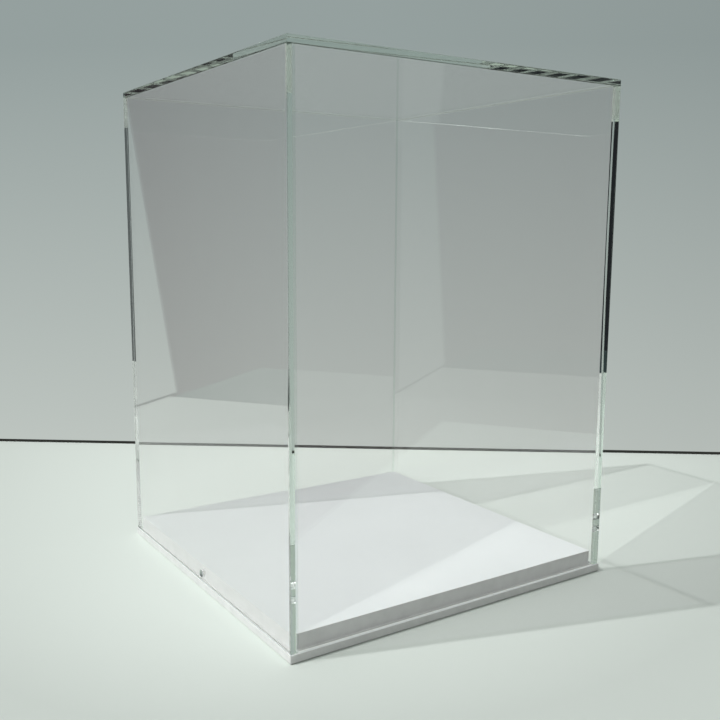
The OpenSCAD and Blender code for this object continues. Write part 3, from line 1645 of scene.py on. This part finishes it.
@dataclass(frozen=True)
class TableFinish(Finish):
    """A pale satin table top. Past its edges, mirrored rays meet a grey shelf and the dark room.

    At a place p its colour has the share f . p + g - d |p - q|, held between two limits. This is
    painted light: f is a painted falloff of the lamp's light across the table, and g - d |p - q| a
    painted pool of light beside the case, with g the share at its brightest, d its fade and q its place.

    Attributes:
        base: its colour below the case.
        painted_falloff: the f above, the painted falloff of light, for each metre along X and Y.
        painted_light_limits: least and greatest share.
        painted_pool_place: the q above, beside the case, which throws light back down; the painted pool of
            light is brightest there.
        painted_pool_share: the g above.
        fade: the d above, how fast the painted pool of light fades, for each metre.
        rough: its roughness.
        specular: its specular level.
        table: the stretch that is white in mirrored rays.
        shelf: the stretch that is grey in mirrored rays.
        shelf_tone: colour of the shelf.
    """

    base: Colour = (0.66, 0.725, 0.675)
    painted_falloff: tuple[float, float] = (0.83, 1.15)
    painted_light_limits: tuple[float, float] = (0.87, 1.12)
    painted_pool_place: Point = (-0.070, -0.052, 0.0)
    painted_pool_share: float = 1.346
    fade: float = 1.715
    rough: float = 0.55
    specular: float = 0.3
    table: TableSpan = TableSpan((-0.53, 0.478), (-0.20, 0.5))
    shelf: TableSpan = TableSpan((-0.745, 0.478), (-0.20, 0.24))
    shelf_tone: Colour = (0.03, 0.048, 0.048)

    def tone(self, graph: Graph, place: object) -> bpy.types.NodeSocket:
        """The table's colour at a place.

        Args:
            graph: the material's nodes.
            place: the point on the table.

        Returns:
            The colour.
        """
        # Painted light: a pool of light beside the case that fades with distance, and a falloff of light
        # across the table, held between limits.
        away = graph.add("VectorMath", {0: place, 1: self.painted_pool_place}, operation="DISTANCE").outputs["Value"]
        painted_pool = graph.maths("MULTIPLY_ADD", away, -self.fade, self.painted_pool_share)
        share = graph.maths("ADD", graph.dot(place, (*self.painted_falloff, 0.0)), painted_pool)
        low, high = self.painted_light_limits
        painted_light_held = graph.maths("MINIMUM", graph.maths("MAXIMUM", share, low), high)
        return graph.dimmed(rgba(self.base), painted_light_held)

    def surface(self, graph: Graph) -> bpy.types.NodeSocket:
        """The table's paint, with what lies past its edges for mirrored rays alone.

        Args:
            graph: the material's nodes.

        Returns:
            The shader to show.
        """
        place = graph.object_place()
        inputs = {
            "Base Color": self.tone(graph, place),
            "Roughness": self.rough,
            "Specular IOR Level": self.specular,
        }
        paint = graph.add("BsdfPrincipled", inputs).outputs[0]
        along = graph.dot(place, ALONG_BACKDROP)
        toward = graph.dot(place, TOWARD_BACKDROP)
        on_shelf = self.shelf.holds(graph, along, toward)
        past = graph.blend(on_shelf, graph.dark_room(), rgba(self.shelf_tone))
        beyond = graph.add("Emission", {"Color": past}).outputs[0]
        off_table = graph.maths("SUBTRACT", 1.0, self.table.holds(graph, along, toward))
        return graph.join(graph.maths("MULTIPLY", off_table, graph.mirrored()), paint, beyond)


@dataclass(frozen=True)
class BackdropFinish(Finish):
    """The pale board behind the case, darker towards its top, with a shadow gap at its foot.

    Attributes:
        low_tone: its colour at the table.
        high_tone: its colour at high_place.
        high_place: the height where it no longer gets darker.
        gap: height of the shadow gap.
        gap_tone: colour of the gap.
        end: how far along the board, at its foot and for each metre up, mirrored rays meet it.
        right_share: share of its tone that is left away from the lamp.
        right_place: how far to the right of its middle that share is reached.
    """

    low_tone: Colour = (0.51, 0.555, 0.525)
    high_tone: Colour = (0.30, 0.352, 0.345)
    high_place: float = 0.34
    gap: float = 2.4 * MM
    gap_tone: Colour = (0.03, 0.032, 0.028)
    end: tuple[float, float] = (-0.545, 0.25)
    right_share: float = 0.905
    right_place: float = 0.28

    def surface(self, graph: Graph) -> bpy.types.NodeSocket:
        """A plain tone for rays that show it, and nothing from behind or past its end.

        Args:
            graph: the material's nodes.

        Returns:
            The shader to show.
        """
        place = graph.object_place()
        height = graph.split(place)["Z"]
        along = graph.dot(place, ALONG_BACKDROP)
        # Painted shade: the glowing tone is darker towards the top and away from the lamp.
        rise = graph.ramp(height, (0.0, 0.0), (self.high_place, 1.0))
        fade = graph.ramp(along, (0.0, 1.0), (self.right_place, self.right_share))
        tone = graph.dimmed(graph.blend(rise, rgba(self.low_tone), rgba(self.high_tone)), fade)
        in_gap = graph.maths("LESS_THAN", height, self.gap)
        tone = graph.blend(in_gap, tone, rgba(self.gap_tone))
        shown = graph.add("Emission", {"Color": tone}).outputs[0]
        nothing = graph.add("BsdfTransparent").outputs[0]
        return graph.join(self.absent(graph, along, height), shown, nothing)

    def absent(self, graph: Graph, along: object, height: object) -> bpy.types.NodeSocket:
        """Tells where the board doesn't show.

        Args:
            graph: the material's nodes.
            along: how far to the right of its middle a place on the board is.
            height: the place's height.

        Returns:
            1 from behind, and for mirrored rays past the board's end, else 0.
        """
        foot, slant = self.end
        limit = graph.maths("MULTIPLY_ADD", height, slant, foot)
        past = graph.maths("MULTIPLY", graph.maths("LESS_THAN", along, limit), graph.mirrored())
        return graph.maths("MAXIMUM", past, graph.add("NewGeometry").outputs["Backfacing"])


@dataclass(frozen=True)
class MirroredBeam:
    """What the front wall mirrors of the key lamp's light, as a faint beam of the wall's shape.

    Attributes:
        low: lowest left corner of the wall's mirroring face.
        high: its highest right corner.
        distance: distance of the lamp that makes the beam, far enough for it to run parallel.
        power: power of that lamp.
    """

    low: Point
    high: Point
    distance: float = 20.0
    power: float = 5200.0

    def frame(self, lamp_way: Point) -> np.ndarray:
        """Places the lamp.

        Args:
            lamp_way: direction from the case to the key lamp.

        Returns:
            The lamp's frame, four by four, whose Z axis is that direction mirrored in the wall.
        """
        away = Vector((lamp_way[0], -lamp_way[1], lamp_way[2])).normalized()
        middle = (np.array(self.low) + np.array(self.high)) / 2
        frame = np.eye(4)
        frame[:3, :3] = np.array(away.to_track_quat("Z", "Y").to_matrix())
        frame[:3, 3] = middle + self.distance * np.array(away)
        return frame

    def shares(self, frame: np.ndarray) -> np.ndarray:
        """How a direction in the lamp's frame tells where on the wall it goes.

        A direction (x, y, -1) meets the wall at the share a x + b y + c of its width and of
        its height, with the numbers a, b and c fitted to three of the wall's corners.

        Args:
            frame: the lamp's frame.

        Returns:
            Rows of a, b and c, for the width and for the height.
        """
        low, high = self.low, self.high
        corners = np.array([low, (high[0], low[1], low[2]), (low[0], high[1], high[2])])
        local = (corners - frame[:3, 3]) @ frame[:3, :3]
        flat = np.column_stack([local[:, :2] / -local[:, 2:], np.ones(3)])
        return np.linalg.solve(flat, np.array([(0.0, 0.0), (1.0, 0.0), (0.0, 1.0)])).T

    def build(self, lamp_way: Point) -> None:
        """Makes the lamp and masks its beam to the wall's shape.

        Args:
            lamp_way: direction from the case to the key lamp.
        """
        frame = self.frame(lamp_way)
        lamp = bpy.data.lights.new("mirrored_beam", "POINT")
        lamp.energy = self.power
        lamp.shadow_soft_size = 0.0
        graph = Graph(lamp)
        way = graph.add("TexCoord").outputs["Normal"]
        depth = graph.maths("MULTIPLY", graph.split(way)["Z"], -1.0)
        depths = graph.add("CombineXYZ", {0: depth, 1: depth, 2: depth}).outputs[0]
        flat = graph.add("VectorMath", {0: way, 1: depths}, operation="DIVIDE").outputs[0]
        strength = 1.0
        for a, b, c in self.shares(frame).tolist():
            share = graph.dot(flat, (a, b, -c))
            strength = graph.maths("MULTIPLY", graph.maths("COMPARE", share, 0.5, 0.5), strength)
        graph.finish(graph.add("Emission", {"Strength": strength}).outputs[0])
        holder = bpy.data.objects.new("mirrored_beam", lamp)
        holder.matrix_world = Matrix(frame.tolist())
        bpy.context.scene.collection.objects.link(holder)


@dataclass
class Studio:
    """The table, the backdrop and the lamps.

    Attributes:
        floor_half: half the side of the floor.
        floor_drop: how far the floor lies under the case.
        backdrop_distance: distance of the backdrop from the case's middle.
        backdrop_reach: how far the backdrop runs to the left and to the right.
        backdrop_height: height of the backdrop.
        lamp_way: direction from the case to the key lamp.
        lamp_strength: strength of the key lamp.
        lamp_angle: angle that the key lamp fills, in degrees.
        beam: what the front wall mirrors of the key lamp's light.
    """

    floor_half: float = 6.0
    floor_drop: float = 0.2 * MM
    backdrop_distance: float = 0.245
    backdrop_reach: tuple[float, float] = (-0.9, 0.9)
    backdrop_height: float = 0.8
    lamp_way: Point = (-0.611, 0.188, 0.769)
    lamp_strength: float = 2.0
    lamp_angle: float = 0.6
    beam: MirroredBeam = MirroredBeam(low=(-0.0957, -0.0957, 0.004), high=(0.0957, -0.0957, 0.2667))

    def build(self) -> None:
        """Builds the floor, the backdrop and the lamps."""
        self.build_floor()
        self.build_backdrop()
        self.build_lamp()
        self.beam.build(self.lamp_way)

    def build_floor(self) -> None:
        """Lays the floor just under the case."""
        half = self.floor_half
        plan = np.array([(-half, -half), (half, -half), (half, half), (-half, half)])
        plan = np.column_stack([plan, np.full(4, -self.floor_drop)])
        shell = Shell()
        shell.add_faces([shell.add_points(plan).tolist()], 0, False)
        shell.make_object("table_top", [TableFinish("satin_table").make()])

    def build_backdrop(self) -> None:
        """Stands the backdrop on the floor, facing the case, out of the way of soft light."""
        foot = self.backdrop_distance * np.array(TOWARD_BACKDROP)
        left, right = (foot + reach * np.array(ALONG_BACKDROP) for reach in self.backdrop_reach)
        up = np.array([0.0, 0.0, self.backdrop_height])
        shell = Shell()
        numbers = shell.add_points(np.array([left, right, right + up, left + up]))
        shell.add_faces([numbers.tolist()], 0, False)
        board = shell.make_object("backdrop", [BackdropFinish("pale_backdrop").make()])
        board.visible_diffuse = False
        board.visible_shadow = False

    def build_lamp(self) -> None:
        """Hangs the key lamp to the left, a little behind the case."""
        lamp = bpy.data.lights.new("key_lamp", "SUN")
        lamp.energy = self.lamp_strength
        lamp.angle = math.radians(self.lamp_angle)
        holder = bpy.data.objects.new("key_lamp", lamp)
        holder.rotation_euler = Vector(self.lamp_way).to_track_quat("Z", "Y").to_euler()
        bpy.context.scene.collection.objects.link(holder)


@dataclass(frozen=True)
class Viewpoint:
    """The camera: off the front left corner, at about three quarters of the case's height.

    Attributes:
        place: where it stands.
        heading: the way it looks, in radians from +Y towards +X.
        down: how far it looks down, in radians.
        roll: how far it is turned about its own axis, in radians.
        lens: focal length in millimetres.
        sensor: width of the sensor in millimetres.
        clip: least and greatest distance that shows.
    """

    place: Point = (-0.27664, -0.42209, 0.19486)
    heading: float = 0.5841
    down: float = 0.1544
    roll: float = 0.0054
    lens: float = 43.9
    sensor: float = 36.0
    clip: tuple[float, float] = (0.01, 50.0)

    def build(self) -> None:
        """Makes the camera from the right, up and backward directions that the angles give."""
        ahead = np.array([math.sin(self.heading), math.cos(self.heading), 0.0])
        forward = ahead * math.cos(self.down) - np.array([0.0, 0.0, math.sin(self.down)])
        level = np.array([math.cos(self.heading), -math.sin(self.heading), 0.0])
        upright = np.cross(level, forward)
        right = level * math.cos(self.roll) + upright * math.sin(self.roll)
        above = upright * math.cos(self.roll) - level * math.sin(self.roll)
        turn = Matrix(np.stack([right, above, -forward], axis=1).tolist()).to_4x4()
        data = bpy.data.cameras.new("camera")
        data.lens = self.lens
        data.sensor_width = self.sensor
        data.clip_start, data.clip_end = self.clip
        camera = bpy.data.objects.new("camera", data)
        camera.matrix_world = Matrix.Translation(self.place) @ turn
        bpy.context.scene.collection.objects.link(camera)
        bpy.context.scene.camera = camera


def set_light_paths(sharp: int = 48, straight: int = 64, soft: int = 4) -> None:
    """Lets rays run on long enough to travel along the sheets from one edge to another.

    Args:
        sharp: how often a ray may be mirrored or bent.
        straight: how many films it may cross.
        soft: how often it may be spread by a matt surface.
    """
    scene = bpy.context.scene
    scene.view_settings.view_transform = "Standard"
    cycles = scene.cycles
    cycles.max_bounces = sharp
    cycles.glossy_bounces = sharp
    cycles.transmission_bounces = sharp
    cycles.transparent_max_bounces = straight
    cycles.diffuse_bounces = soft


def main() -> None:
    """Builds the case, the studio and the camera, and reports each piece."""
    logging.basicConfig(level=logging.INFO, format="%(name)s: %(message)s")
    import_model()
    board_low, board_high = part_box("base_board")
    wall_low, wall_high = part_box("left_panel")
    clearance = 0.5 * MM
    rebate = (wall_low.x - board_low.x) + (wall_high.x - wall_low.x) + clearance
    board = BaseBoard(np.array(board_low), np.array(board_high), lip=wall_low.z, rebate=rebate)
    pieces = [board.build(), *Cover().build(board.hole_height)]
    for piece in pieces:
        LOG.info("%s: %d faces", piece.name, len(piece.data.polygons))
    Room().build()
    Studio().build()
    Viewpoint().build()
    set_light_paths()


if __name__ == "__main__":
    main()
